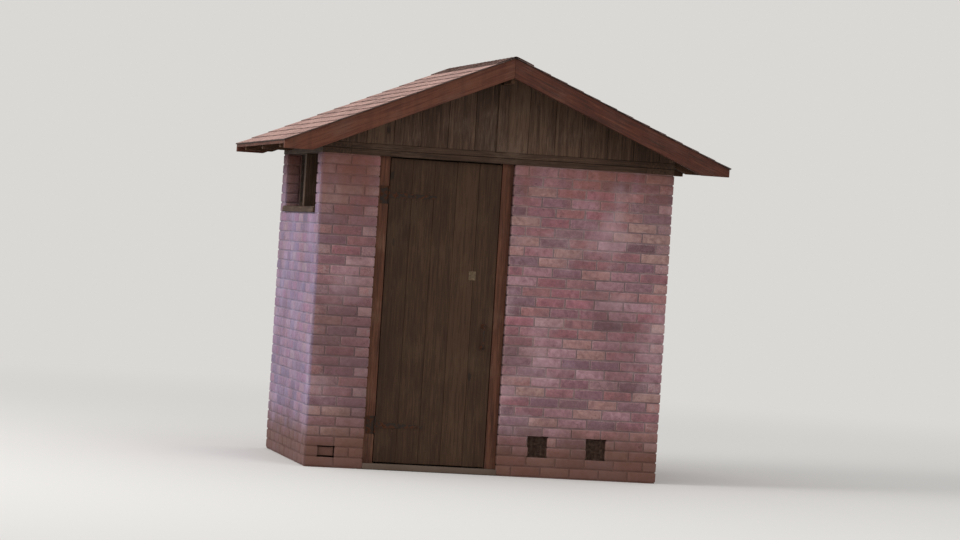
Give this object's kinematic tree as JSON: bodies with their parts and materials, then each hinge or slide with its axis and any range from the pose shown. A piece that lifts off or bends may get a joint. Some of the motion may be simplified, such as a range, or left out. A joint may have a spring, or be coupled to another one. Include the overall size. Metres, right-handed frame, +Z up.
{
  "type": "brick outhouse",
  "caption": "Small brick outhouse with a low gabled roof on wide eaves, a narrow pier beside a dark board door and screened bands under the side eaves.",
  "frame": {"origin": "on the ground, under the middle of the four walls", "axes": "+Z up, the door side faces -Y, +X to the right of someone facing the door"},
  "size_m": [3.063, 2.4532, 2.8277],
  "materials": {
    "brick": "rough fired clay",
    "concrete": "trowelled, dusty",
    "timber": "brown stain, weathered",
    "barge_paint": "red-brown paint, worn",
    "door_stain": "dark brown stain",
    "shingle": "mineral granules",
    "iron": "black paint, rusting",
    "wire": "dull galvanised"
  },
  "bodies": {
    "hut": {"front_wall_left": "brick", "front_wall_right": "brick", "left_wall": "brick", "right_wall": "brick", "rear_wall": "brick", "floor_slab": "concrete", "band_sill_left": "timber", "band_sill_right": "timber", "band_post_left": "timber", "band_post_right": "timber", "band_screen_left": "wire", "band_screen_right": "wire", "plate_left": "timber", "plate_right": "timber", "plate_front": "timber", "plate_rear": "timber", "ridge_board": "timber", "rafter_left_front": "timber", "rafter_left_middle": "timber", "rafter_left_rear": "timber", "rafter_right_front": "timber", "rafter_right_middle": "timber", "rafter_right_rear": "timber", "gable_front": "timber", "gable_rear": "timber", "roof_boards_left": "timber", "roof_boards_right": "timber", "barge_front_left": "barge_paint", "barge_front_right": "barge_paint", "barge_rear_left": "barge_paint", "barge_rear_right": "barge_paint", "shingles_left": "shingle", "shingles_right": "shingle", "ridge_cap": "shingle", "door_jamb_left": "barge_paint", "door_jamb_right": "barge_paint", "hinge_flange_bottom": "iron", "hinge_flange_top": "iron"},
    "door": {"door_leaf": "door_stain", "door_ledge_bottom": "door_stain", "door_ledge_top": "door_stain", "door_brace": "door_stain", "hinge_strap_bottom": "iron", "hinge_strap_top": "iron", "door_pull": "iron"}
  },
  "joints": [
    {"name": "door_swing", "type": "hinge", "parent": "hut", "child": "door", "pos_m": [-0.73905, -0.86645, 1], "axis": [0, 0, -1], "range_deg": [0, 145]}
  ]
}
